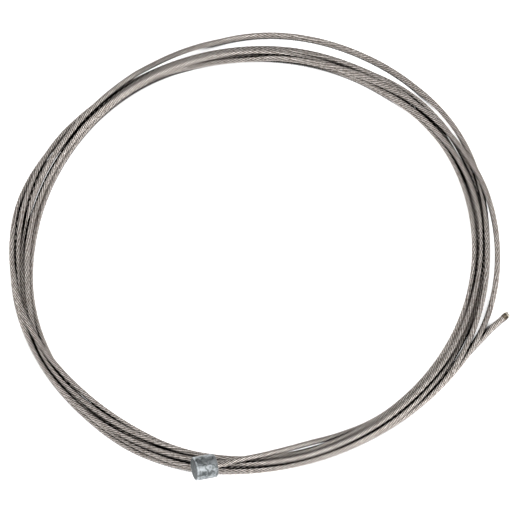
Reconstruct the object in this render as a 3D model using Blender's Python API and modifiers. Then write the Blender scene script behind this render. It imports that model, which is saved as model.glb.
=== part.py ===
"""Inner shift cable of a bicycle: a stranded steel cord in a loose hank, with a cast barrel head on one end.

The cord leaves the head, runs six and a quarter turns counter-clockwise seen from above, and its fused end
stands off the outer side of the hank. Lengths are in millimetres until the points are handed to Blender.
Blender 4.5, metres, +Z up, the hank lying on z = 0.
"""
import math

import bpy
import numpy as np
from mathutils import Matrix

MM = 0.001

# Cord
CORD_DIAMETER = 1.1
FUSED_END_LENGTH = 1.5
FUSED_END_DIAMETER = 1.26
FUSED_SHOULDER = 0.28
FUSED_ROUNDING = 0.22
FUSED_TIP_SHARE = 0.7
CROSSING_GAP = 0.05

# Head: a short barrel with a blind bore that the cord sits in
HEAD_DIAMETER = 4.5
HEAD_LENGTH = 4.1
HEAD_CHAMFER = 0.17
BORE_CLEARANCE = 0.1
BORE_FLOOR = 0.8
BORE_COUNTERSINK = 0.14
HEAD_ROUND_STEPS = 40
CORD_END_TO_FLOOR = 0.3

# Where the head lies: angle round the hank, distance out from its middle line, heading and slope of its axis
HEAD_ANGLE = 259.1
HEAD_OUT = 2.6
HEAD_HEADING = 14.3
HEAD_SLOPE = 13.2
HEAD_GAP = 0.15
HEAD_LOWERED_FROM = 11.0
HEAD_LOWERED_BY = 0.02
FINER_NEAR_HEAD = 5

# Hank: a slightly oval ring, wound in lanes one cord diameter apart
HANK_RADIUS = 43.0
HANK_OVAL = 1.7
HANK_OVAL_ANGLE = 24.0
POINTS_PER_TURN = 72
CLIMB_POINTS = 2
EXIT_STRAIGHT = 1.0
EXIT_POINTS = 5
EXIT_JOIN_STEPS = 2

# The lay of each turn in hand-placed knots: angle, lane outward from the middle line, level.
# Where two strands come nearer than one diameter, the one with the higher level lies on top.
TURNS = (
    # From the head inward over the hank, then down and along its inner side
    ((257, 1.4, 9), (262, 0.9, 9), (267, 0.4, 9), (272, -0.2, 9), (282, -0.9, 9), (289, -0.95, 3),
     (295, -0.75, 0), (303, -0.4, 0), (315, -0.35, 0), (335, -0.5, 0), (360, -0.3, 0), (385, -0.5, 0),
     (392, -0.6, 1), (400, -0.6, 3), (418, -0.6, 3), (435, -0.7, 3), (465, -1.1, 3), (485, -1.0, 3),
     (501, -0.7, 3), (509, -0.4, 1), (514, -0.1, 1), (521, 0.4, 0), (530, 1.0, 0), (550, 1.1, 0),
     (570, 0.65, 0), (585, 0.65, 0), (600, 1.25, 0)),
    # Outermost strand of the hank, standing off it at the far side
    ((257, 1.5, 0), (285, 1.65, 1), (300, 1.95, 1), (322, 2.65, 2), (329, 2.65, 3), (345, 1.95, 4),
     (365, 1.1, 4), (378, 1.4, 3), (392, 2.0, 1), (420, 2.4, 1), (450, 2.5, 1), (465, 1.6, 3),
     (480, 0.4, 5), (495, -0.3, 5), (512, -0.6, 5), (525, -0.5, 3), (537, -0.4, 1), (550, -0.4, 0),
     (570, -0.15, 1), (585, 0.25, 1), (600, 0.75, 1)),
    # Upper outer strand, low at the far side
    ((257, 1.5, 3), (285, 1.85, 3), (310, 2.0, 3), (329, 1.55, 3), (340, 1.25, 2), (350, 1.1, 2),
     (368, 0.8, 2), (385, 0.5, 2), (392, 0.4, 2), (405, 0.4, 1), (420, -0.1, 1), (440, 0.0, 1),
     (480, -0.4, 1), (501, 0.3, 1), (509, 0.6, 3), (520, 0.65, 3), (530, 0.5, 3), (545, 0.3, 3),
     (560, 0.8, 3), (585, 0.55, 3), (600, 0.35, 3)),
    # Upper middle strand
    ((257, 0.6, 3), (285, 1.2, 4), (320, 0.95, 4), (350, 0.3, 4), (370, 0.1, 3), (385, -0.7, 4),
     (400, -1.7, 4), (412, -2.2, 4), (430, -1.9, 4), (450, -1.8, 4), (480, -1.7, 4), (500, -1.65, 4),
     (514, -1.5, 2), (530, -1.45, 2), (540, -1.4, 3), (555, -0.9, 3), (568, -0.05, 3), (585, -0.45, 3),
     (600, -0.75, 3)),
    # Innermost strand
    ((257, -0.8, 3), (270, -0.55, 3), (290, 0.1, 3), (320, -0.15, 3), (350, -0.7, 3), (380, -1.4, 2),
     (400, -1.7, 0), (415, -2.0, 0), (440, -1.8, 0), (465, -1.2, 0), (480, -0.9, 0), (495, -1.1, 0),
     (515, -1.75, 0), (535, -2.0, 0), (555, -1.5, 0), (575, -1.0, 0), (595, -0.75, 0)),
    # Last full turn, wrapped round the others: out, over them inward, under them outward, over them inward
    ((257, 0.3, 0), (285, 1.1, 0), (305, 1.75, 0.5), (325, 2.8, 1), (345, 3.55, 1), (360, 3.0, 5),
     (375, 1.8, 9), (390, 0.2, 9), (405, -1.2, 9), (425, -2.5, 9), (437, -2.8, 5), (447, -2.8, 3),
     (455, -2.5, 0.5), (465, -1.8, 0.5), (475, -1.1, 0.5), (490, -0.2, 0.5), (505, 0.8, 0.5),
     (518, 1.3, 0.5), (530, 1.6, 0.5), (537, 1.4, 3), (545, 1.1, 6), (555, 0.6, 9), (570, -0.65, 9),
     (578, -1.15, 9), (585, -1.45, 3), (592, -1.65, 1), (600, -1.65, 1)),
    # Free end, out from under the hank
    ((257, -1.1, 0), (275, -0.45, 0), (295, 0.4, 0), (315, 1.3, 0), (330, 2.35, 0), (338.5, 3.9, 0)),
)
# The free end's last points: angle, distance out from the hank's middle line in millimetres
FREE_END = ((341.2, 5.15), (343.2, 5.95), (346.1, 7.45))


def hank_radius(angles):
    """Radius of the hank's middle line at the given angles in degrees: a circle with two long sides."""
    return HANK_RADIUS + HANK_OVAL * np.cos(2.0 * np.radians(angles - HANK_OVAL_ANGLE))


def smooth_through(knots, values, at):
    """Cubic curve through the knots, whose slope at each knot is that of its two neighbours."""
    slopes = np.gradient(values, knots)
    i = np.clip(np.searchsorted(knots, at, side="right") - 1, 0, len(knots) - 2)
    span = knots[i + 1] - knots[i]
    t = (at - knots[i]) / span
    start = (1.0 + 2.0 * t) * (1.0 - t) ** 2 * values[i] + t * (1.0 - t) ** 2 * span * slopes[i]
    end = t * t * (3.0 - 2.0 * t) * values[i + 1] + t * t * (t - 1.0) * span * slopes[i + 1]
    return start + end


def spread(values, reach, how):
    """Moving maximum or mean over the points within reach along the cord."""
    padded = np.pad(values, reach, mode="edge")
    count = len(values)
    return how([padded[shift:shift + count] for shift in range(2 * reach + 1)], axis=0)


def settled_heights(out, level):
    """Height of the cord's centre at each point, resting on the strands of a lower level beneath it.

    Two strands that lie nearer than a diameter sideways need the rest of that diameter in height. The need is
    spread along the cord before it is averaged over the same reach, so the climb is gentle and never too low.
    """
    lowest = CORD_DIAMETER / 2.0
    apart = CORD_DIAMETER + CROSSING_GAP
    index = np.arange(len(out))
    height = np.full(len(out), lowest)
    for _ in range(2 * len(TURNS)):
        need = np.full(len(out), lowest)
        for turns_away in range(-len(TURNS), len(TURNS) + 1):
            other = index + turns_away * POINTS_PER_TURN
            here = index[(other >= 0) & (other < len(out)) & (turns_away != 0)]
            there = here + turns_away * POINTS_PER_TURN
            sideways = np.abs(out[here] - out[there])
            lower = (level[there] < level[here]) | ((level[there] == level[here]) & (there < here))
            rests = lower & (sideways < apart)
            here, there, sideways = here[rests], there[rests], sideways[rests]
            need[here] = np.maximum(need[here], height[there] + np.sqrt(apart ** 2 - sideways ** 2))
        height = spread(spread(need, CLIMB_POINTS, np.max), CLIMB_POINTS, np.mean)
    return height


def hank_points():
    """Centre line of the wound cord, a row of x, y, z per point, from just past the head to the free end."""
    knots = np.array([(angle + 360.0 * turn, lane, level)
                      for turn, lay in enumerate(TURNS) for angle, lane, level in lay])
    angles = np.arange(knots[0, 0], knots[-1, 0], 360.0 / POINTS_PER_TURN)
    out = CORD_DIAMETER * smooth_through(knots[:, 0], knots[:, 1], angles)
    height = settled_heights(out, np.interp(angles, knots[:, 0], knots[:, 2]))
    last_turn = 360.0 * (len(TURNS) - 1)
    angles = np.append(angles, [last_turn + angle for angle, _ in FREE_END])
    out = np.append(out, [distance for _, distance in FREE_END])
    height = np.append(height, [CORD_DIAMETER / 2.0] + [FUSED_END_DIAMETER / 2.0] * (len(FREE_END) - 1))
    around = np.radians(angles)
    radius = hank_radius(angles) + out
    return np.stack([radius * np.cos(around), radius * np.sin(around), height], axis=1)


def head_direction():
    """Unit vector along the head's axis, out of its mouth."""
    heading, slope = math.radians(HEAD_HEADING), math.radians(HEAD_SLOPE)
    level = math.cos(slope)
    return np.array([level * math.cos(heading), level * math.sin(heading), -math.sin(slope)])


def head_centre(strands):
    """Centre of the head where it lies on the strands: the lowest place that keeps HEAD_GAP to them all."""
    axis = head_direction()
    angle = math.radians(HEAD_ANGLE)
    radius = hank_radius(HEAD_ANGLE) + HEAD_OUT
    clear = HEAD_DIAMETER / 2.0 + CORD_DIAMETER / 2.0 + HEAD_GAP
    reach = HEAD_LENGTH / 2.0 + CORD_DIAMETER / 2.0
    centre = np.array([radius * math.cos(angle), radius * math.sin(angle), HEAD_LOWERED_FROM])
    while centre[2] > HEAD_DIAMETER / 2.0:
        lower = centre - np.array([0.0, 0.0, HEAD_LOWERED_BY])
        away = strands - lower
        along = away @ axis
        sideways = np.linalg.norm(away - np.outer(along, axis), axis=1)
        if np.any((np.abs(along) < reach) & (sideways < clear)):
            break
        centre = lower
    return centre


def between(points, finer):
    """Points of a smooth curve through the given ones, several for each."""
    along = np.arange(len(points), dtype=float)
    at = np.linspace(0.0, len(points) - 1.0, (len(points) - 1) * finer + 1)
    return np.stack([smooth_through(along, points[:, k], at) for k in range(3)], axis=1)


def disc_corners(centres, axes, diameter):
    """Lowest and highest corner of the discs of one diameter that stand square to the given unit axes."""
    reach = diameter / 2.0 * np.sqrt(1.0 - axes ** 2)
    return np.vstack([centres - reach, centres + reach])


def cord_route():
    """The whole centre line in millimetres, with the head's centre and the direction of its mouth."""
    hank = hank_points()
    near_head = between(hank[POINTS_PER_TURN // 2:], FINER_NEAR_HEAD)
    centre, axis = head_centre(near_head), head_direction()
    mouth = centre + axis * HEAD_LENGTH / 2.0
    end_in_bore = mouth - axis * (HEAD_LENGTH - BORE_FLOOR - CORD_END_TO_FLOOR)
    leave = mouth + axis * EXIT_STRAIGHT
    join = hank[EXIT_JOIN_STEPS]
    onward = hank[EXIT_JOIN_STEPS + 1] - hank[EXIT_JOIN_STEPS - 1]
    reach = np.linalg.norm(join - leave)
    onward = onward / np.linalg.norm(onward) * reach
    t = np.linspace(0.0, 1.0, EXIT_POINTS)[:-1, None]
    bend = ((1 + 2 * t) * (1 - t) ** 2 * leave + t * (1 - t) ** 2 * axis * reach
            + t * t * (3 - 2 * t) * join + t * t * (t - 1) * onward)
    route = np.vstack([end_in_bore, mouth, bend, hank[EXIT_JOIN_STEPS:]])
    along = np.gradient(route, axis=0)
    along = along / np.linalg.norm(along, axis=1)[:, None]
    faces = centre + np.outer([-0.5, 0.5], axis) * HEAD_LENGTH
    corners = np.vstack([disc_corners(route, along, CORD_DIAMETER), disc_corners(faces, axis, HEAD_DIAMETER)])
    shift = (corners.min(axis=0) + corners.max(axis=0)) / 2.0 * np.array([1.0, 1.0, 0.0])
    return route - shift, centre - shift, axis


def new_material(name, colour, metallic, roughness):
    material = bpy.data.materials.new(name)
    material.use_nodes = True
    shader = material.node_tree.nodes["Principled BSDF"]
    shader.inputs["Base Color"].default_value = (*colour, 1.0)
    shader.inputs["Metallic"].default_value = metallic
    shader.inputs["Roughness"].default_value = roughness
    material.diffuse_color = (*colour, 1.0)
    return material


def make_cord(route, collection, material):
    """The cord: a round tube along its route, a little thicker over its fused end."""
    curve = bpy.data.curves.new("inner_wire", "CURVE")
    curve.dimensions = "3D"
    curve.bevel_depth = CORD_DIAMETER / 2.0 * MM
    curve.bevel_resolution = 2
    curve.use_fill_caps = True
    curve.resolution_u = 1
    curve.render_resolution_u = 0
    tip = route[-1]
    backward = (route[-2] - tip) / np.linalg.norm(route[-2] - tip)
    swell = FUSED_END_DIAMETER / CORD_DIAMETER
    end = [(tip + backward * (FUSED_END_LENGTH + FUSED_SHOULDER), 1.0),
           (tip + backward * FUSED_END_LENGTH, swell),
           (tip + backward * FUSED_ROUNDING, swell),
           (tip, FUSED_TIP_SHARE * swell)]
    points = [(point, 1.0) for point in route[:-1]] + end
    spline = curve.splines.new("POLY")
    spline.points.add(len(points) - 1)
    for target, (point, radius) in zip(spline.points, points):
        target.co = (*(point * MM), 1.0)
        target.radius = radius
    curve.materials.append(material)
    cord = bpy.data.objects.new("inner_wire", curve)
    collection.objects.link(cord)
    return cord


def make_head(centre, axis, collection, material):
    """The head: half its section turned about its axis, from the bore round the outside to the blind face."""
    bore = CORD_DIAMETER / 2.0 + BORE_CLEARANCE
    outer = HEAD_DIAMETER / 2.0
    half = HEAD_LENGTH / 2.0
    floor = BORE_FLOOR - half
    profile = [(0.0, floor), (bore, floor), (bore, half - BORE_COUNTERSINK), (bore + BORE_COUNTERSINK, half),
               (outer - HEAD_CHAMFER, half), (outer, half - HEAD_CHAMFER), (outer, HEAD_CHAMFER - half),
               (outer - HEAD_CHAMFER, -half), (0.0, -half)]
    mesh = bpy.data.meshes.new("cable_head")
    mesh.from_pydata([(x * MM, 0.0, z * MM) for x, z in profile],
                     [(i, i + 1) for i in range(len(profile) - 1)], [])
    mesh.materials.append(material)
    head = bpy.data.objects.new("cable_head", mesh)
    collection.objects.link(head)
    turn = head.modifiers.new("Turned", "SCREW")
    turn.axis = "Z"
    turn.steps = HEAD_ROUND_STEPS
    turn.render_steps = HEAD_ROUND_STEPS
    turn.use_merge_vertices = True
    turn.merge_threshold = 0.00001
    turn.use_smooth_shade = False
    heading = Matrix.Rotation(math.atan2(axis[1], axis[0]), 4, "Z")
    tilt = Matrix.Rotation(math.acos(axis[2]), 4, "Y")
    head.matrix_world = Matrix.Translation([value * MM for value in centre]) @ heading @ tilt
    return head


def main():
    for old in list(bpy.data.objects):
        bpy.data.objects.remove(old)
    collection = bpy.data.collections.new("shift_cable")
    bpy.context.scene.collection.children.link(collection)
    route, centre, axis = cord_route()
    steel = new_material("stranded_steel", (0.42, 0.38, 0.36), 1.0, 0.35)
    zinc = new_material("cast_zinc", (0.36, 0.37, 0.38), 0.9, 0.5)
    make_cord(route, collection, steel)
    make_head(centre, axis, collection, zinc)


main()
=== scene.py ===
"""The looks of a bicycle's inner shift cable: a strand of twisted steel wires in a loose hank, and its head.

The frame gives the solids. This script lays the real wires along the same route, casts the head's surface,
and sets the camera, the pale floor and the soft studio light. Lengths are in millimetres, and the lamps'
sizes and places in metres.
"""

import math

import bpy
import numpy as np
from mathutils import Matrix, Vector


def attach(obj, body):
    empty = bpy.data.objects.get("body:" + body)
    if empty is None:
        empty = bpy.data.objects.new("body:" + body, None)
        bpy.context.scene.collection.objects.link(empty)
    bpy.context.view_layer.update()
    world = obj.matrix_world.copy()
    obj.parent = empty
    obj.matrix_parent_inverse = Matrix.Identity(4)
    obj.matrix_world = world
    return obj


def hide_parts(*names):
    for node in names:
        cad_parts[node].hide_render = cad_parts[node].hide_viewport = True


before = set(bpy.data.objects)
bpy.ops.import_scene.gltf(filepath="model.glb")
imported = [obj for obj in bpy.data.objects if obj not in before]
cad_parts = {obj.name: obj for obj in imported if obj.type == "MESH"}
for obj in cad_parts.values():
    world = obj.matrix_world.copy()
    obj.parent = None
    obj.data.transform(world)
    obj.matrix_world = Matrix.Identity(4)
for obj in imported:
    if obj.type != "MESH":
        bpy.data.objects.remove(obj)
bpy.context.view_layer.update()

MM = 0.001

# Strand: nine wires laid round nine thinner ones and a core wire; one tube stands for the inner wires
CORD_DIAMETER = 1.1
WIRE_DIAMETER = CORD_DIAMETER / 4.0
OUTER_WIRES = 9
LAY_LENGTH = 9.65
CORE_DIAMETER = CORD_DIAMETER - 1.2 * WIRE_DIAMETER
WIRE_STEP = 0.6        # between two rings of a wire's surface
FINER_FOR_WIRES = 8    # points of the smooth curve for each point of the route
# Corners of a wire's section, in degrees from the direction that faces out of the strand
WIRE_CORNERS = (-90.0, -60.0, -30.0, 0.0, 30.0, 60.0, 90.0, 180.0)
CORE_SIDES = 8
WIRES_APART = 0.5      # between two wires in the noise that streaks them
FUSED_END_LENGTH = 1.5
FUSED_END_DIAMETER = 1.26
FUSED_END_RINGS = 20
FUSED_END_SIDES = 24

# Painted shade in the gap between two turns of the hank
# Two turns as near as the first distance share a gap, which fades out by the second
NEAR_TURN = 1.25
FAR_TURN = 1.9
# Nearer than the first distance, the other turn lies over or under and has no gap beside it
OVERHEAD_FULLY = 0.45
OVERHEAD_NO_MORE = 0.85
# Cosines of the angle off the other turn at which the gap starts and is full
GAP_STARTS = 0.72
GAP_FULL = 0.86
# Gap on the level side of a strand: how dark, how much of that goes as the other lies a diameter higher or
# lower, and how wide
LEVEL_SHARE = 0.95
LEVEL_FADE = 0.42
LEVEL_REACH = 0.93
STEEP_LOSS = 0.13      # how much narrower the gap is towards a strand straight above or below
LEAST_DISTANCE = 0.01  # keeps a turn's distance to itself off zero

# Head
HEAD_DIAMETER = 4.5
HEAD_LENGTH = 4.1
HEAD_CHAMFER = 0.17
HEAD_RIM_HIGHLIGHT = 0.12   # how far the painted highlight reaches past the chamfer
HEAD_SIDES = 72
HEAD_EDGE_POINTS = 6
HEAD_AXIS_GAP = 0.05   # radius of the small flat that closes each end of the turned surface
BORE_CLEARANCE = 0.1
BORE_FLOOR = 0.8
BORE_COUNTERSINK = 0.14
CORD_END_TO_FLOOR = 0.3
HEAD_ANGLE = 259.1
HEAD_OUT = 2.6
HEAD_HEADING = 14.3
HEAD_SLOPE = 13.2
HEAD_GAP = 0.15
HEAD_LOWERED_FROM = 11.0
HEAD_LOWERED_BY = 0.02
FINER_NEAR_HEAD = 5

# Hank
HANK_RADIUS = 43.0
HANK_OVAL = 1.7
HANK_OVAL_ANGLE = 24.0
CROSSING_GAP = 0.05
POINTS_PER_TURN = 72
CLIMB_POINTS = 2
EXIT_STRAIGHT = 1.0
EXIT_POINTS = 5
EXIT_JOIN_STEPS = 2

# Grain of the surfaces, across one patch of noise
STREAK_SIZE = 0.6
SCALE_SIZE = 0.5
MOTTLE_SIZE = 0.8
PEBBLE_SIZE = 0.45
SHARP_ANGLE = 50.0
# Settings of a mix node that multiplies the colours of its inputs 6 and 7 into its output 2
PRODUCT = {"data_type": "RGBA", "blend_type": "MULTIPLY", 0: 1.0}

# Paper: how far it looks for what stands over it, and the sum of the two at which it has full painted shade
# and at which it is clear
PAPER_FAR_LOOK = 6.0
PAPER_NEAR_LOOK = 1.2
PAPER_DARK_AT = 0.9
PAPER_CLEAR_AT = 1.15
PAPER_GLOW = 0.7
FLOOR_REACH = 3.0      # metres

# Camera and the photograph's frame
IMAGE_WIDTH = 510
PIXELS_PER_MM = 5.2
CAMERA_ELEVATION = 72.0
CAMERA_DISTANCE = 800.0
HANK_MIDDLE_PIXEL = (250.0, 254.0)

# The lay of each turn in listed knots: angle, lane outward from the middle line, level.
# Where two strands come nearer than one diameter, the one with the higher level lies on top.
TURNS = (
    # From the head inward over the hank, then down and along its inner side
    ((257, 1.4, 9), (262, 0.9, 9), (267, 0.4, 9), (272, -0.2, 9), (282, -0.9, 9), (289, -0.95, 3),
     (295, -0.75, 0), (303, -0.4, 0), (315, -0.35, 0), (335, -0.5, 0), (360, -0.3, 0), (385, -0.5, 0),
     (392, -0.6, 1), (400, -0.6, 3), (418, -0.6, 3), (435, -0.7, 3), (465, -1.1, 3), (485, -1.0, 3),
     (501, -0.7, 3), (509, -0.4, 1), (514, -0.1, 1), (521, 0.4, 0), (530, 1.0, 0), (550, 1.1, 0),
     (570, 0.65, 0), (585, 0.65, 0), (600, 1.25, 0)),
    # Outermost strand of the hank, standing off it at the far side
    ((257, 1.5, 0), (285, 1.65, 1), (300, 1.95, 1), (322, 2.65, 2), (329, 2.65, 3), (345, 1.95, 4),
     (365, 1.1, 4), (378, 1.4, 3), (392, 2.0, 1), (420, 2.4, 1), (450, 2.5, 1), (465, 1.6, 3),
     (480, 0.4, 5), (495, -0.3, 5), (512, -0.6, 5), (525, -0.5, 3), (537, -0.4, 1), (550, -0.4, 0),
     (570, -0.15, 1), (585, 0.25, 1), (600, 0.75, 1)),
    # Upper outer strand, low at the far side
    ((257, 1.5, 3), (285, 1.85, 3), (310, 2.0, 3), (329, 1.55, 3), (340, 1.25, 2), (350, 1.1, 2),
     (368, 0.8, 2), (385, 0.5, 2), (392, 0.4, 2), (405, 0.4, 1), (420, -0.1, 1), (440, 0.0, 1),
     (480, -0.4, 1), (501, 0.3, 1), (509, 0.6, 3), (520, 0.65, 3), (530, 0.5, 3), (545, 0.3, 3),
     (560, 0.8, 3), (585, 0.55, 3), (600, 0.35, 3)),
    # Upper middle strand
    ((257, 0.6, 3), (285, 1.2, 4), (320, 0.95, 4), (350, 0.3, 4), (370, 0.1, 3), (385, -0.7, 4),
     (400, -1.7, 4), (412, -2.2, 4), (430, -1.9, 4), (450, -1.8, 4), (480, -1.7, 4), (500, -1.65, 4),
     (514, -1.5, 2), (530, -1.45, 2), (540, -1.4, 3), (555, -0.9, 3), (568, -0.05, 3), (585, -0.45, 3),
     (600, -0.75, 3)),
    # Innermost strand
    ((257, -0.8, 3), (270, -0.55, 3), (290, 0.1, 3), (320, -0.15, 3), (350, -0.7, 3), (380, -1.4, 2),
     (400, -1.7, 0), (415, -2.0, 0), (440, -1.8, 0), (465, -1.2, 0), (480, -0.9, 0), (495, -1.1, 0),
     (515, -1.75, 0), (535, -2.0, 0), (555, -1.5, 0), (575, -1.0, 0), (595, -0.75, 0)),
    # Last full turn, wrapped round the others: out, over them inward, under them outward, over them inward
    ((257, 0.3, 0), (285, 1.1, 0), (305, 1.75, 0.5), (325, 2.8, 1), (345, 3.55, 1), (360, 3.0, 5),
     (375, 1.8, 9), (390, 0.2, 9), (405, -1.2, 9), (425, -2.5, 9), (437, -2.8, 5), (447, -2.8, 3),
     (455, -2.5, 0.5), (465, -1.8, 0.5), (475, -1.1, 0.5), (490, -0.2, 0.5), (505, 0.8, 0.5),
     (518, 1.3, 0.5), (530, 1.6, 0.5), (537, 1.4, 3), (545, 1.1, 6), (555, 0.6, 9), (570, -0.65, 9),
     (578, -1.15, 9), (585, -1.45, 3), (592, -1.65, 1), (600, -1.65, 1)),
    # Free end, out from under the hank
    ((257, -1.1, 0), (275, -0.45, 0), (295, 0.4, 0), (315, 1.3, 0), (330, 2.35, 0), (338.5, 3.9, 0)),
)
# The free end's last points: angle, distance out from the hank's middle line
FREE_END = ((341.2, 5.15), (343.2, 5.95), (346.1, 7.45))


def hank_radius(angles):
    """Radius of the hank's middle line at the given angles in degrees: a circle with two long sides."""
    return HANK_RADIUS + HANK_OVAL * np.cos(2.0 * np.radians(angles - HANK_OVAL_ANGLE))


def smooth_through(knots, values, at):
    """Cubic curve through the knots, whose slope at each knot is that of its two neighbours."""
    slopes = np.gradient(values, knots)
    i = np.clip(np.searchsorted(knots, at, side="right") - 1, 0, len(knots) - 2)
    span = knots[i + 1] - knots[i]
    t = (at - knots[i]) / span
    start = (1.0 + 2.0 * t) * (1.0 - t) ** 2 * values[i] + t * (1.0 - t) ** 2 * span * slopes[i]
    end = t * t * (3.0 - 2.0 * t) * values[i + 1] + t * t * (t - 1.0) * span * slopes[i + 1]
    return start + end


def spread(values, reach, how):
    """Moving maximum or mean over the points within reach along the cord."""
    padded = np.pad(values, reach, mode="edge")
    count = len(values)
    return how([padded[shift:shift + count] for shift in range(2 * reach + 1)], axis=0)


def settled_heights(out, level):
    """Height of the cord's centre at each point, resting on the strands of a lower level beneath it.

    Two strands that lie nearer than a diameter sideways need the rest of that diameter in height. The need is
    spread along the cord before it is averaged over the same reach, so the climb is gentle and never too low.
    """
    lowest = CORD_DIAMETER / 2.0
    apart = CORD_DIAMETER + CROSSING_GAP
    index = np.arange(len(out))
    height = np.full(len(out), lowest)
    for _ in range(2 * len(TURNS)):
        need = np.full(len(out), lowest)
        for turns_away in range(-len(TURNS), len(TURNS) + 1):
            other = index + turns_away * POINTS_PER_TURN
            here = index[(other >= 0) & (other < len(out)) & (turns_away != 0)]
            there = here + turns_away * POINTS_PER_TURN
            sideways = np.abs(out[here] - out[there])
            lower = (level[there] < level[here]) | ((level[there] == level[here]) & (there < here))
            rests = lower & (sideways < apart)
            here, there, sideways = here[rests], there[rests], sideways[rests]
            need[here] = np.maximum(need[here], height[there] + np.sqrt(apart ** 2 - sideways ** 2))
        height = spread(spread(need, CLIMB_POINTS, np.max), CLIMB_POINTS, np.mean)
    return height


def hank_points():
    """Centre line of the wound cord, a row of x, y, z per point, from just past the head to the free end."""
    knots = np.array([(angle + 360.0 * turn, lane, level)
                      for turn, lay in enumerate(TURNS) for angle, lane, level in lay])
    angles = np.arange(knots[0, 0], knots[-1, 0], 360.0 / POINTS_PER_TURN)
    out = CORD_DIAMETER * smooth_through(knots[:, 0], knots[:, 1], angles)
    height = settled_heights(out, np.interp(angles, knots[:, 0], knots[:, 2]))
    last_turn = 360.0 * (len(TURNS) - 1)
    angles = np.append(angles, [last_turn + angle for angle, _ in FREE_END])
    out = np.append(out, [distance for _, distance in FREE_END])
    height = np.append(height, [CORD_DIAMETER / 2.0] + [FUSED_END_DIAMETER / 2.0] * (len(FREE_END) - 1))
    around = np.radians(angles)
    radius = hank_radius(angles) + out
    return np.stack([radius * np.cos(around), radius * np.sin(around), height], axis=1)


def head_direction():
    """Unit vector along the head's axis, out of its mouth."""
    heading, slope = math.radians(HEAD_HEADING), math.radians(HEAD_SLOPE)
    level = math.cos(slope)
    return np.array([level * math.cos(heading), level * math.sin(heading), -math.sin(slope)])


def head_centre(strands):
    """Centre of the head where it lies on the strands: the lowest place that keeps HEAD_GAP to them all."""
    axis = head_direction()
    angle = math.radians(HEAD_ANGLE)
    radius = hank_radius(HEAD_ANGLE) + HEAD_OUT
    clear = HEAD_DIAMETER / 2.0 + CORD_DIAMETER / 2.0 + HEAD_GAP
    reach = HEAD_LENGTH / 2.0 + CORD_DIAMETER / 2.0
    centre = np.array([radius * math.cos(angle), radius * math.sin(angle), HEAD_LOWERED_FROM])
    while centre[2] > HEAD_DIAMETER / 2.0:
        lower = centre - np.array([0.0, 0.0, HEAD_LOWERED_BY])
        away = strands - lower
        along = away @ axis
        sideways = np.linalg.norm(away - np.outer(along, axis), axis=1)
        if np.any((np.abs(along) < reach) & (sideways < clear)):
            break
        centre = lower
    return centre


def between(points, finer):
    """Points of a smooth curve through the given ones, several for each."""
    along = np.arange(len(points), dtype=float)
    at = np.linspace(0.0, len(points) - 1.0, (len(points) - 1) * finer + 1)
    return np.stack([smooth_through(along, points[:, k], at) for k in range(3)], axis=1)


def disc_corners(centres, axes, diameter):
    """Lowest and highest corner of the discs of one diameter that stand square to the given unit axes."""
    reach = diameter / 2.0 * np.sqrt(1.0 - axes ** 2)
    return np.vstack([centres - reach, centres + reach])


def cord_route():
    """The cord's whole centre line, the head's centre, its mouth's direction and the hank's middle."""
    hank = hank_points()
    near_head = between(hank[POINTS_PER_TURN // 2:], FINER_NEAR_HEAD)
    centre, axis = head_centre(near_head), head_direction()
    mouth = centre + axis * HEAD_LENGTH / 2.0
    end_in_bore = mouth - axis * (HEAD_LENGTH - BORE_FLOOR - CORD_END_TO_FLOOR)
    leave = mouth + axis * EXIT_STRAIGHT
    join = hank[EXIT_JOIN_STEPS]
    onward = hank[EXIT_JOIN_STEPS + 1] - hank[EXIT_JOIN_STEPS - 1]
    reach = np.linalg.norm(join - leave)
    onward = onward / np.linalg.norm(onward) * reach
    t = np.linspace(0.0, 1.0, EXIT_POINTS)[:-1, None]
    bend = ((1 + 2 * t) * (1 - t) ** 2 * leave + t * (1 - t) ** 2 * axis * reach
            + t * t * (3 - 2 * t) * join + t * t * (t - 1) * onward)
    route = np.vstack([end_in_bore, mouth, bend, hank[EXIT_JOIN_STEPS:]])
    along = np.gradient(route, axis=0)
    along = along / np.linalg.norm(along, axis=1)[:, None]
    faces = centre + np.outer([-0.5, 0.5], axis) * HEAD_LENGTH
    corners = np.vstack([disc_corners(route, along, CORD_DIAMETER),
                         disc_corners(faces, axis, HEAD_DIAMETER)])
    shift = (corners.min(axis=0) + corners.max(axis=0)) / 2.0 * np.array([1.0, 1.0, 0.0])
    return route - shift, centre - shift, axis, -shift


def evenly(points, step):
    """The same smooth curve with its points a fixed distance apart, and that distance run at each of them."""
    fine = between(points, FINER_FOR_WIRES)
    run = np.concatenate([[0.0], np.cumsum(np.linalg.norm(np.diff(fine, axis=0), axis=1))])
    at = np.linspace(0.0, run[-1], int(round(run[-1] / step)) + 1)
    return np.stack([np.interp(at, run, fine[:, k]) for k in range(3)], axis=1), at


def across(centres):
    """Two unit vectors square to a path at each point: level, and square to that."""
    along = np.gradient(centres, axis=0)
    along = along / np.linalg.norm(along, axis=1)[:, None]
    level = np.cross(along, [0.0, 0.0, 1.0])
    level = level / np.linalg.norm(level, axis=1)[:, None]
    return level, np.cross(level, along)


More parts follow.
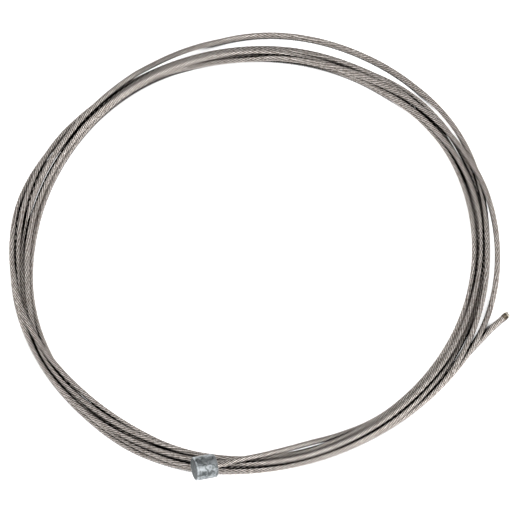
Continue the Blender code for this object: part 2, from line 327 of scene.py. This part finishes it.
def closed_mesh(name, rings, material, **kept):
    """A closed surface through rings of points: a quad between each two neighbours, a flat face at each end.

    What else is given is kept for the material as attributes of these names: a number or a vector for each
    point.
    """
    count, sides = rings.shape[:2]
    first = np.arange(count - 1)[:, None] * sides
    side = np.arange(sides)[None, :]
    following = (side + 1) % sides
    quads = np.stack([first + side, first + sides + side, first + sides + following, first + following],
                     axis=2)
    faces = quads.reshape(-1, 4).tolist()
    faces.append(list(range(sides)))
    faces.append(list(range((count - 1) * sides, count * sides))[::-1])
    mesh = bpy.data.meshes.new(name)
    mesh.from_pydata((rings.reshape(-1, 3) * MM).tolist(), [], faces)
    mesh.materials.append(material)
    for attribute, values in kept.items():
        kind, field = ("FLOAT", "value") if values.ndim == 2 else ("FLOAT_VECTOR", "vector")
        data = mesh.attributes.new(attribute, kind, "POINT").data
        data.foreach_set(field, values.astype(np.float32).ravel())
    mesh.shade_smooth()
    mesh.set_sharp_from_angle(angle=math.radians(SHARP_ANGLE))
    piece = bpy.data.objects.new(name, mesh)
    bpy.context.scene.collection.objects.link(piece)
    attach(piece, "root")
    return piece


def tube(name, centres, radius, sides, material, **kept):
    """A round tube along a path: each ring is radius times (cos a, sin a) in the two directions across it."""
    level, upright = across(centres)
    turn = np.arange(sides) * 2.0 * np.pi / sides
    spread_out = (np.cos(turn)[None, :, None] * level[:, None, :]
                  + np.sin(turn)[None, :, None] * upright[:, None, :])
    rings = centres[:, None, :] + np.asarray(radius).reshape(-1, 1, 1) * spread_out
    return closed_mesh(name, rings, material, **kept)


def linear(hex_colour):
    """Linear colour of an sRGB hex value."""
    srgb = [int(hex_colour[k:k + 2], 16) / 255.0 for k in (1, 3, 5)]
    return (*(c / 12.92 if c <= 0.04045 else ((c + 0.055) / 1.055) ** 2.4 for c in srgb), 1.0)


def add(tree, kind, settings=(), stops=()):
    """Adds a node, sets its properties and inputs, and links the inputs that are given another node's output.

    Inputs go by name or number. Stops are the positions and hex colours of a colour ramp.
    """
    node = tree.nodes.new(kind)
    for key, value in dict(settings).items():
        if isinstance(value, bpy.types.NodeSocket):
            tree.links.new(value, node.inputs[key])
        elif isinstance(key, str) and hasattr(node, key):
            setattr(node, key, value)
        else:
            node.inputs[key].default_value = value
    for number, (position, colour) in enumerate(stops):
        elements = node.color_ramp.elements
        stop = elements[number] if number < 2 else elements.new(position)
        stop.position, stop.color = position, linear(colour)
    return node


def metal(name):
    """A bare metal's material, with its node tree and shader."""
    material = bpy.data.materials.new(name)
    material.use_nodes = True
    shader = material.node_tree.nodes["Principled BSDF"]
    shader.inputs["Metallic"].default_value = 1.0
    return material, material.node_tree, shader


def drawn_steel():
    """Drawn steel wire: warm grey crowns, with painted shade darkening the grooves between the wires.

    Crown is 1 where a wire faces out of the strand and 0 at its sides, where it meets its neighbours; towards
    the sides the colour is painted dark as shade, and it draws the strand's hatch. The gap attribute is 1 in
    the gap between two turns, where colour and the reflections' tint are painted near black as shade, and it
    keeps the turns apart to the eye. Lay runs along each wire, with the wires far apart, so that each has its
    own streaks.
    """
    material, tree, shader = metal("drawn_steel_wire")
    crown = add(tree, "ShaderNodeAttribute", {"attribute_name": "crown"})
    shelter = add(tree, "ShaderNodeAttribute", {"attribute_name": "shelter"})
    lay = add(tree, "ShaderNodeAttribute", {"attribute_name": "lay"})
    streak = add(tree, "ShaderNodeTexNoise", {"Vector": lay.outputs["Vector"],
                                              "Scale": 1 / (STREAK_SIZE * MM), "Detail": 3.0,
                                              "Roughness": 0.7})
    # Painted shade: each wire's colour goes dark towards its sides, where it meets its neighbours
    groove_shade = add(tree, "ShaderNodeValToRGB", {"Fac": crown.outputs["Fac"]},
                 stops=((0.5, "#17110E"), (0.88, "#F6EEE8")))
    tarnish = add(tree, "ShaderNodeValToRGB", {"Fac": streak.outputs["Fac"]},
                  stops=((0.36, "#BEB8B3"), (0.6, "#FFFFFF")))
    # Painted shade: near black in the gap between two turns, in the colour and in the reflections' tint
    gap_shade_colour = add(tree, "ShaderNodeValToRGB", {"Fac": shelter.outputs["Fac"]},
              stops=((0.0, "#FFFFFF"), (0.65, "#060402")))
    wire = add(tree, "ShaderNodeMix", {**PRODUCT, 6: groove_shade.outputs["Color"], 7: tarnish.outputs["Color"]})
    tint = add(tree, "ShaderNodeMix", {**PRODUCT, 6: wire.outputs[2], 7: gap_shade_colour.outputs["Color"]})
    polish = add(tree, "ShaderNodeMapRange", {"Value": streak.outputs["Fac"], "To Min": 0.54, "To Max": 0.36})
    tree.links.new(tint.outputs[2], shader.inputs["Base Color"])
    tree.links.new(gap_shade_colour.outputs["Color"], shader.inputs["Specular Tint"])
    tree.links.new(polish.outputs["Result"], shader.inputs["Roughness"])
    return material


def core_steel():
    """The wires under the outer layer: the same steel, dull, painted dark as shade, seen as dark lines."""
    material, _, shader = metal("core_steel_wire")
    shader.inputs["Base Color"].default_value = linear("#2B231F")
    shader.inputs["Roughness"].default_value = 0.6
    return material


def fused_steel():
    """Strand end fused by heat: wires run together and brown with scale, melted bright at the very tip.

    Tip is 1 on the last of the bead and 0 on the rest.
    """
    material, tree, shader = metal("fused_strand_end")
    place = add(tree, "ShaderNodeTexCoord")
    tip = add(tree, "ShaderNodeAttribute", {"attribute_name": "tip"})
    scale = add(tree, "ShaderNodeTexNoise", {"Vector": place.outputs["Object"],
                                             "Scale": 1 / (SCALE_SIZE * MM), "Detail": 3.0})
    brown = add(tree, "ShaderNodeValToRGB", {"Fac": scale.outputs["Fac"]},
                stops=((0.35, "#1C150E"), (0.68, "#8C8172")))
    tint = add(tree, "ShaderNodeMix", {"data_type": "RGBA", 0: tip.outputs["Fac"], 6: brown.outputs["Color"],
                                       7: linear("#F2EBDC")})
    bump = add(tree, "ShaderNodeBump", {"Height": scale.outputs["Fac"], "Strength": 0.5,
                                        "Distance": 0.03 * MM})
    tree.links.new(tint.outputs[2], shader.inputs["Base Color"])
    tree.links.new(bump.outputs["Normal"], shader.inputs["Normal"])
    shader.inputs["Roughness"].default_value = 0.42
    return material


def cast_zinc():
    """Die-cast zinc: dull blue grey, mottled where the metal froze against the die, with a pebbled skin.

    Zone is 0 on the barrel, 0.5 on the blind end's rim, painted light as a highlight, and 1 on its face,
    painted dark as shade.
    """
    material, tree, shader = metal("die_cast_zinc")
    place = add(tree, "ShaderNodeTexCoord")
    zone = add(tree, "ShaderNodeAttribute", {"attribute_name": "zone"})
    mottle = add(tree, "ShaderNodeTexNoise", {"Vector": place.outputs["Object"],
                                              "Scale": 1 / (MOTTLE_SIZE * MM), "Detail": 3.0,
                                              "Distortion": 0.8})
    skin = add(tree, "ShaderNodeValToRGB", {"Fac": mottle.outputs["Fac"]},
               stops=((0.38, "#7A8081"), (0.62, "#D4DADE")))
    # Painted light: the blind end's rim lighter as a highlight and its face darker as shade
    rim_highlight_and_face_shade = add(tree, "ShaderNodeValToRGB", {"Fac": zone.outputs["Fac"]},
               stops=((0.0, "#D4D4D4"), (0.5, "#FFFFFF"), (1.0, "#62686A")))
    tint = add(tree, "ShaderNodeMix", {**PRODUCT, 6: skin.outputs["Color"], 7: rim_highlight_and_face_shade.outputs["Color"]})
    pebble = add(tree, "ShaderNodeTexNoise", {"Vector": place.outputs["Object"],
                                              "Scale": 1 / (PEBBLE_SIZE * MM), "Detail": 3.0,
                                              "Roughness": 0.7})
    bump = add(tree, "ShaderNodeBump", {"Height": pebble.outputs["Fac"], "Strength": 0.9,
                                        "Distance": 0.1 * MM})
    tree.links.new(tint.outputs[2], shader.inputs["Base Color"])
    tree.links.new(bump.outputs["Normal"], shader.inputs["Normal"])
    shader.inputs["Roughness"].default_value = 0.46
    return material


def other_turns(centres, middle):
    """From each point of the route to the other turns of the hank: directions, and closeness from 0 to 1.

    Each turn counts twice: straight across the distance between the two, and level, however high it lies.
    A direction shorter than 1 stands for a narrower gap.
    """
    angle = np.unwrap(np.arctan2(centres[:, 1] - middle[1], centres[:, 0] - middle[0]))
    directions, closeness = [], []
    for turns in range(-len(TURNS), len(TURNS) + 1):
        at = angle + 2.0 * np.pi * turns
        other = np.stack([np.interp(at, angle, centres[:, k]) for k in range(3)], axis=1)
        there = (at > angle[0]) & (at < angle[-1]) & (turns != 0)
        rise = np.minimum(np.abs(other[:, 2] - centres[:, 2]) / CORD_DIAMETER, 1.0)
        level_share = LEVEL_SHARE * (1.0 - LEVEL_FADE * rise)
        for height, share, reach in ((1.0, 1.0, 1.0), (0.0, level_share, LEVEL_REACH)):
            away = (other - centres) * np.array([1.0, 1.0, height])
            distance = np.maximum(np.linalg.norm(away, axis=1), LEAST_DISTANCE)
            near = np.clip((FAR_TURN - distance) / (FAR_TURN - NEAR_TURN), 0.0, 1.0)
            beside = (distance - OVERHEAD_FULLY) / (OVERHEAD_NO_MORE - OVERHEAD_FULLY)
            steep = np.abs(away[:, 2]) / distance
            directions.append((reach * (1.0 - STEEP_LOSS * steep) / distance)[:, None] * away)
            closeness.append(share * there * near * np.clip(beside, 0.0, 1.0))
    return np.stack(directions, axis=1), np.stack(closeness, axis=1)


def sheltered(centres, rings, neighbours):
    """How deep each point of a wire lies in the painted shade of a gap to another turn: 0 in the open, 1
    dark.

    That is the greatest, over the other turns, of the closeness times how far the cosine between the way the
    point faces and the way to the turn has come from the gap's start to its full depth.
    """
    directions, closeness = neighbours
    out = rings - centres[:, None, :]
    out = out / np.linalg.norm(out, axis=2)[:, :, None]
    toward = np.einsum("rck,rtk->rct", out, directions)
    depth = np.clip((toward - GAP_STARTS) / (GAP_FULL - GAP_STARTS), 0.0, 1.0)
    return (closeness[:, None, :] * depth).max(axis=2)


def make_strand(route, middle):
    """The cord: a core tube on the route and nine wires in helices round it, in left-hand lay.

    Wire n stands at the angle of one whole turn times the sum of the length run over the lay and n ninths.
    """
    centres, run = evenly(route, WIRE_STEP)
    # The smooth curve dips under the floor where a climb starts
    centres[:, 2] = np.maximum(centres[:, 2], CORD_DIAMETER / 2.0)
    level, upright = across(centres)
    neighbours = other_turns(centres, middle)
    steel = drawn_steel()
    corner = np.radians(WIRE_CORNERS)
    crown = np.tile(np.cos(corner), (len(run), 1))
    wires = []
    for number in range(OUTER_WIRES):
        turn = 2.0 * np.pi * (run / LAY_LENGTH + number / OUTER_WIRES)
        outward = np.cos(turn)[:, None] * level + np.sin(turn)[:, None] * upright
        helix = centres + (CORD_DIAMETER - WIRE_DIAMETER) / 2.0 * outward
        along = np.gradient(helix, axis=0)
        along = along / np.linalg.norm(along, axis=1)[:, None]
        beside = np.cross(outward, along)
        section = (np.cos(corner)[None, :, None] * outward[:, None, :]
                   + np.sin(corner)[None, :, None] * beside[:, None, :])
        rings = helix[:, None, :] + WIRE_DIAMETER / 2.0 * section
        lay = np.stack([run, np.full(len(run), WIRES_APART * number), np.zeros(len(run))], axis=1)
        # Each wire carries how deep it lies in the painted shade of the gaps between turns
        wires.append(closed_mesh(f"outer_wire_{number + 1}", rings, steel, crown=crown,
                                 lay=np.repeat(lay[:, None, :] * MM, len(corner), axis=1),
                                 shelter=sheltered(centres, rings, neighbours)))
    core = tube("strand_core", centres, CORE_DIAMETER / 2.0, CORE_SIDES, core_steel())
    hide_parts("inner_wire")
    return core, wires, centres, run[-1]


def make_fused_end(centres):
    """The fused end: a bead round the last stretch of the route.

    Its radius is half the diameter times (1 - 0.999 |t|^5)^0.35, with t from -1 to 1 along it, which rounds
    both ends of a block. The 0.999 leaves each end open enough for its face.
    """
    end, before = centres[-1], centres[-2]
    forward = (end - before) / np.linalg.norm(end - before)
    t = np.linspace(-1.0, 1.0, FUSED_END_RINGS)
    radius = FUSED_END_DIAMETER / 2.0 * (1.0 - 0.999 * np.abs(t) ** 5) ** 0.35
    path = end + forward * (FUSED_END_LENGTH / 2.0 * (t - 1.0))[:, None]
    tip = np.tile(np.clip((t[:, None] - 0.3) / 0.3, 0.0, 1.0), (1, FUSED_END_SIDES))
    return tube("fused_end", path, radius, FUSED_END_SIDES, fused_steel(), tip=tip)


def make_head(centre, axis):
    """The head: its section turned about its axis, with every edge rounded as a casting's are."""
    outer, half = HEAD_DIAMETER / 2.0, HEAD_LENGTH / 2.0
    bore = CORD_DIAMETER / 2.0 + BORE_CLEARANCE
    quarter = np.linspace(0.0, np.pi / 2.0, HEAD_EDGE_POINTS)
    rim = outer - HEAD_CHAMFER
    blind = [(rim + HEAD_CHAMFER * math.sin(a), -half + HEAD_CHAMFER * (1.0 - math.cos(a))) for a in quarter]
    mouth = [(rim + HEAD_CHAMFER * math.cos(a), half - HEAD_CHAMFER * (1.0 - math.sin(a))) for a in quarter]
    # Distance from the axis and along it, from the middle of the blind face over the barrel into the bore
    section = np.array([(HEAD_AXIS_GAP, -half), (rim - HEAD_RIM_HIGHLIGHT, -half)] + blind
                       + [(outer, HEAD_CHAMFER + HEAD_RIM_HIGHLIGHT - half), (outer, 0.0)] + mouth
                       + [(bore + BORE_COUNTERSINK, half), (bore, half - BORE_COUNTERSINK),
                          (bore, BORE_FLOOR - half), (HEAD_AXIS_GAP, BORE_FLOOR - half)])
    zone = np.zeros(len(section))
    # The blind face takes painted shade and its rim a painted highlight
    zone[:2] = 1.0
    zone[2:2 + len(blind)] = 0.5
    level = np.cross(axis, [0.0, 0.0, 1.0])
    level = level / np.linalg.norm(level)
    upright = np.cross(level, axis)
    turn = np.arange(HEAD_SIDES) * 2.0 * np.pi / HEAD_SIDES
    rings = (centre + section[:, 1][:, None, None] * axis
             + section[:, 0][:, None, None] * (np.cos(turn)[None, :, None] * level
                                               + np.sin(turn)[None, :, None] * upright))
    head = closed_mesh("head_casting", rings, cast_zinc(), zone=np.tile(zone[:, None], (1, HEAD_SIDES)))
    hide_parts("cable_head")


def place_camera(middle):
    """Looks down at the hank from the photograph's side, with the hank's middle on its pixel."""
    elevation = math.radians(CAMERA_ELEVATION)
    right = np.array([1.0, 0.0, 0.0])
    up = np.array([0.0, math.sin(elevation), math.cos(elevation)])
    toward = np.array([0.0, -math.cos(elevation), math.sin(elevation)])
    half = IMAGE_WIDTH / 2.0
    aim = (middle + right * (half - HANK_MIDDLE_PIXEL[0]) / PIXELS_PER_MM
           - up * (half - HANK_MIDDLE_PIXEL[1]) / PIXELS_PER_MM)
    data = bpy.data.cameras.new("photo_camera")
    data.lens = data.sensor_width * PIXELS_PER_MM * CAMERA_DISTANCE / IMAGE_WIDTH
    data.clip_start = 0.01
    camera = bpy.data.objects.new("photo_camera", data)
    camera.location = (aim + toward * CAMERA_DISTANCE) * MM
    camera.rotation_euler = (math.radians(90.0 - CAMERA_ELEVATION), 0.0, 0.0)
    bpy.context.scene.collection.objects.link(camera)
    bpy.context.scene.camera = camera


def lamp(name, size, energy, place):
    """A square soft box of the given size in metres, facing the origin."""
    data = bpy.data.lights.new(name, "AREA")
    data.size = size
    data.energy = energy
    light = bpy.data.objects.new(name, data)
    light.location = place
    light.rotation_euler = Vector(place).to_track_quat("Z", "Y").to_euler()
    bpy.context.scene.collection.objects.link(light)


def make_stage():
    """Pale floor, a room that is bright overhead and dim at eye level, and three soft boxes."""
    floor_mesh = bpy.data.meshes.new("floor")
    corners = [(x * FLOOR_REACH, y * FLOOR_REACH, 0.0) for x, y in ((-1, -1), (1, -1), (1, 1), (-1, 1))]
    floor_mesh.from_pydata(corners, [], [(0, 1, 2, 3)])
    material = bpy.data.materials.new("pale_paper")
    material.use_nodes = True
    tree = material.node_tree
    tree.nodes.clear()
    # The paper is white to the camera and in the metal's reflections, but in the slits between strands its
    # colour is painted dark as shade
    rays = add(tree, "ShaderNodeLightPath")
    seen = rays.outputs["Is Camera Ray"]
    for ray in ("Is Glossy Ray", "Is Transmission Ray"):
        seen = add(tree, "ShaderNodeMath", {"operation": "MAXIMUM", 0: seen, 1: rays.outputs[ray]}).outputs[0]
    around = add(tree, "ShaderNodeAmbientOcclusion", {"Distance": PAPER_FAR_LOOK * MM})
    beside = add(tree, "ShaderNodeAmbientOcclusion", {"Distance": PAPER_NEAR_LOOK * MM})
    openness = add(tree, "ShaderNodeMath", {"operation": "ADD", 0: around.outputs["AO"],
                                            1: beside.outputs["AO"]})
    clear = add(tree, "ShaderNodeMapRange", {"Value": openness.outputs[0], "From Min": PAPER_DARK_AT,
                                             "From Max": PAPER_CLEAR_AT})
    slit_shade = add(tree, "ShaderNodeValToRGB", {"Fac": clear.outputs["Result"]},
               stops=((0.0, "#101010"), (1.0, "#F3F3F3")))
    lift = add(tree, "ShaderNodeMath", {"operation": "MULTIPLY", 0: seen, 1: clear.outputs["Result"]})
    level = add(tree, "ShaderNodeMath", {"operation": "MULTIPLY", 0: lift.outputs[0], 1: PAPER_GLOW})
    paper = add(tree, "ShaderNodeBsdfDiffuse", {"Color": slit_shade.outputs["Color"]})
    glow = add(tree, "ShaderNodeEmission", {"Strength": level.outputs[0]})
    both = add(tree, "ShaderNodeAddShader", {0: paper.outputs[0], 1: glow.outputs[0]})
    add(tree, "ShaderNodeOutputMaterial", {"Surface": both.outputs[0]})
    floor_mesh.materials.append(material)
    floor = bpy.data.objects.new("floor", floor_mesh)
    bpy.context.scene.collection.objects.link(floor)

    world = bpy.data.worlds.new("studio")
    bpy.context.scene.world = world
    world.use_nodes = True
    tree = world.node_tree
    direction = add(tree, "ShaderNodeTexCoord")
    height = add(tree, "ShaderNodeSeparateXYZ", {"Vector": direction.outputs["Generated"]})
    sky = add(tree, "ShaderNodeValToRGB", {"Fac": height.outputs["Z"]},
              stops=((0.0, "#262626"), (0.5, "#606060"), (1.0, "#DCDCDC")))
    tree.links.new(sky.outputs["Color"], tree.nodes["Background"].inputs["Color"])
    lamp("soft_box_above", 0.8, 1.4, (0.08, -0.33, 0.86))
    lamp("soft_box_front", 0.5, 3.9, (0.42, -0.48, 0.66))
    lamp("soft_box_back", 0.5, 2.2, (-0.38, 0.3, 0.75))


scene = bpy.context.scene
scene.view_settings.view_transform = "Standard"

route, centre, axis, middle = cord_route()
place_camera(middle)
core, wires, centres, length = make_strand(route, middle)
fused_end = make_fused_end(centres)
make_head(centre, axis)
make_stage()
